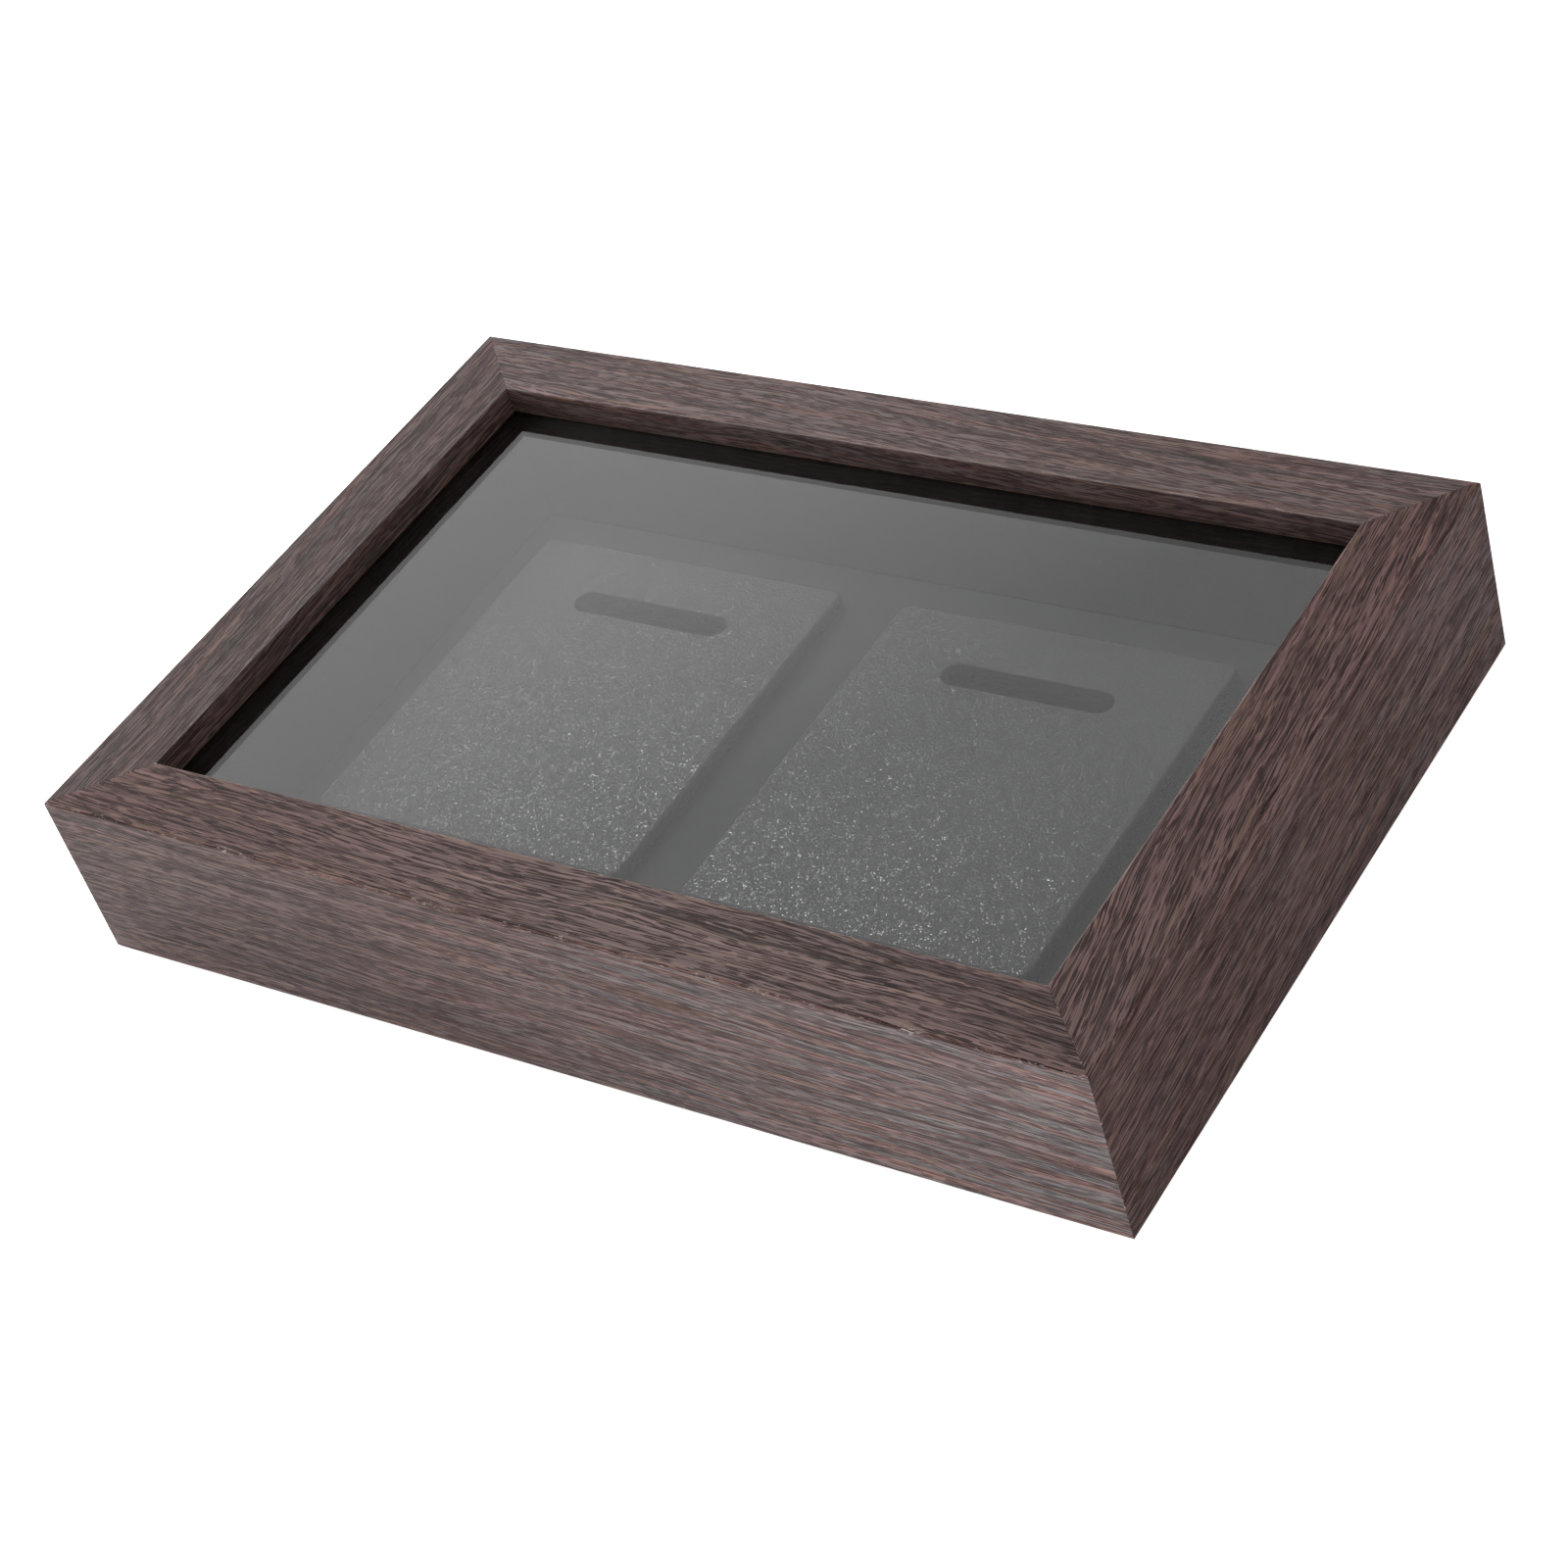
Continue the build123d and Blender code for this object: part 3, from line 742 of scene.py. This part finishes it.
nickel = plated("nickel_satin", (0.54, 0.52, 0.49), 0.30, 0.48)
zinc = plated("zinc_bright", (0.55, 0.56, 0.58), 0.28, 0.5)
screws = "turn_button_screws"
pressed_parts = [n for n in nodes if n.startswith(("turn_button_", "sawtooth_")) and n != screws]
dress(nickel, *pressed_parts)
dress(zinc, screws, "hanger_nails", "corner_v_nails")

# %% [markdown]
# ## Floor and light
# The box lies on a plain pale table with light under it, as small goods are often photographed:
# the table is as white as the walls and takes no shadow, and in front it is brightest, so that it
# lights the near side. The table's underside is clear, so that the cover and its turn buttons can
# be seen from below. The table lies a hair below the box's foot, so that the two don't flicker.

# %% Floor
FLOOR_DROP, FLOOR_HALF = 0.00005, 6.0
FLOOR_PAINT = (0.86, 0.86, 0.86)
TO_FRONT = (0.42, -0.91, 0.0)
GLOW_BEGINS, GLOW_FULL = 0.12, 0.5
GLOW_LEAST, GLOW_MOST = 0.85, 2.2
table = Recipe("studio_floor")
cloud = table.noise(table.place(0.5), 2, 0.5)
pale = table.shade(FLOOR_PAINT, table.soft(cloud, 0.3, 0.7, 0.995, 1.005))
ahead = table.put("VectorMath", {0: table.place(1.0), 1: TO_FRONT}, operation="DOT_PRODUCT")
strength = table.soft(ahead.outputs[1], GLOW_BEGINS, GLOW_FULL, GLOW_LEAST, GLOW_MOST)
glow = {"Emission Color": (1, 1, 1, 1), "Emission Strength": strength}
paint = {"Base Color": pale, "Roughness": 0.9, "Specular IOR Level": 0.2} | glow
above = table.put("BsdfPrincipled", paint).outputs[0]
below = table.put("BsdfTransparent", {}).outputs[0]
under = table.put("NewGeometry", {}).outputs["Backfacing"]
either = table.put("MixShader", {0: under, 1: above, 2: below}).outputs[0]
flat = bmesh.new()
bmesh.ops.create_grid(flat, x_segments=1, y_segments=1, size=FLOOR_HALF)
bmesh.ops.translate(flat, vec=(0, 0, -FLOOR_DROP), verts=flat.verts)
floor = into_scene("studio_floor", flat, table.surface(either))

# %% [markdown]
# The walls of the studio are bright and its ceiling is dim, and that is what the glass shows: a
# grey veil, strongest where it mirrors the wall low down at the far left. The studio's brightness
# depends only on direction. Towards the far left, which is what the glass mirrors, it falls along
# a tilted axis, so that the veil fades from the far left to the near right. In all other directions
# it changes with height alone: bright at eye level, dark overhead. Each is a curve of brightness by
# how far a direction points along its axis.

# %% How bright the studio is
FAR_LEFT = Vector((-1, 1, 0)).normalized()
SEEN_AXIS = Vector((1.0, -0.65, 1.0)).normalized()
WALL_SEEN = ((-1.0, 2.0), (-0.45, 2.0), (-0.30, 1.84), (-0.24, 1.65), (-0.20, 1.38),
             (-0.17, 1.13), (-0.13, 1.14), (-0.08, 0.92), (-0.02, 0.3), (1.0, 0.2))
WALL_REST = ((0.0, 1.0), (0.25, 1.5), (0.50, 0.25), (1.0, 0.0))
world = bpy.data.worlds.new("studio")
bpy.context.scene.world = world
world.use_nodes = True
sky = world.node_tree
sky.nodes.clear()


def along_axis(axis, scale=(1, 1, 1)):
    """How far a direction, first scaled and made one long again, points along an axis."""
    direction = sky.nodes.new("ShaderNodeTexCoord").outputs["Generated"]
    for operation, value in (("MULTIPLY", scale), ("NORMALIZE", None), ("DOT_PRODUCT", axis)):
        step = sky.nodes.new("ShaderNodeVectorMath")
        step.operation = operation
        sky.links.new(direction, step.inputs[0])
        if value is not None:
            step.inputs[1].default_value = value
        direction = step.outputs[0]
    return step.outputs[1]


def curve(value, stops):
    """Brightness by a value, in straight runs between the stops."""
    node = sky.nodes.new("ShaderNodeFloatCurve")
    line = node.mapping.curves[0]
    node.mapping.clip_min_x, node.mapping.clip_max_y = -1.0, 3.0
    while len(line.points) < len(stops):
        line.points.new(0.5, 0.5)
    for point, place in zip(line.points, stops):
        point.location, point.handle_type = place, "VECTOR"
    node.mapping.update()
    sky.links.new(value, node.inputs["Value"])
    return node.outputs[0]


# %% [markdown]
# A soft share joins the two curves: it is 0 for directions away from the far left, and grows to 1
# for directions that point there.

# %% Studio walls and ceiling
share = sky.nodes.new("ShaderNodeMapRange")
share.interpolation_type = "SMOOTHSTEP"
blend = sky.nodes.new("ShaderNodeMix")
studio = sky.nodes.new("ShaderNodeBackground")
output = sky.nodes.new("ShaderNodeOutputWorld")
sky.links.new(along_axis(FAR_LEFT, (1, 1, 0)), share.inputs["Value"])
sky.links.new(share.outputs[0], blend.inputs[0])
sky.links.new(curve(along_axis((0, 0, 1)), WALL_REST), blend.inputs[2])
sky.links.new(curve(along_axis(SEEN_AXIS), WALL_SEEN), blend.inputs[3])
sky.links.new(blend.outputs[0], studio.inputs["Strength"])
sky.links.new(studio.outputs[0], output.inputs[0])
print(f"world: {len(sky.nodes)} nodes")

# %% [markdown]
# Three soft boxes add the light that a photographer sets by hand. One stands high at the far left
# and draws the sparks on the leathercloth, one stands low at the left, and one lies in front, no
# higher than the box, so that it lights the near side and leaves the lips dark. The standard view
# transform keeps the white of the table white.


# %% Soft boxes
def softbox(name, at, towards, size, watts):
    """An area lamp that faces a point."""
    lamp = bpy.data.lights.new(name, "AREA")
    lamp.shape, lamp.size, lamp.size_y, lamp.energy = "RECTANGLE", *size, watts
    box = bpy.data.objects.new(name, lamp)
    box.location = at
    box.rotation_mode = "QUATERNION"
    box.rotation_quaternion = (Vector(towards) - Vector(at)).to_track_quat("-Z", "Y")
    bpy.context.scene.collection.objects.link(box)
    brightness = watts / (math.pi * size[0] * size[1])
    print(f"{name}: brightness {brightness:.1f}")


softbox("softbox_top", (-0.80, 0.62, 1.25), (0, 0, 0), (0.22, 0.22), 18)
softbox("softbox_left", (-0.65, 0.0, 0.45), (0, 0, 0), (0.12, 0.12), 1.5)
softbox("softbox_near", (0.28, -0.66, 0.05), (0.1, -0.1, 0.025), (0.4, 0.06), 2.0)
bpy.context.scene.view_settings.view_transform = "Standard"

# %% [markdown]
# ## Camera
# The picture looks down on the box from its front right, with a long lens, and the camera is
# rolled so that the box seems to slide to the lower right.

# %% Camera
CAMERA_AT = Vector((0.46872, -0.48686, 0.55914))
LOOKS_AT = Vector((0.01567, -0.01735, 0.025))
ROLL = math.radians(-18.82)
FOCAL_LENGTH, FILM_WIDTH = 79.97, 36.0
lens = bpy.data.cameras.new("camera")
lens.lens, lens.sensor_width, lens.clip_start = FOCAL_LENGTH, FILM_WIDTH, 0.05
camera = bpy.data.objects.new("camera", lens)
camera.location = CAMERA_AT
camera.rotation_mode = "QUATERNION"
level = (LOOKS_AT - CAMERA_AT).to_track_quat("-Z", "Y")
camera.rotation_quaternion = level @ Quaternion((0, 0, 1), ROLL)
bpy.context.scene.collection.objects.link(camera)
bpy.context.scene.camera = camera
print("camera is", round((LOOKS_AT - CAMERA_AT).length, 3), "m away")
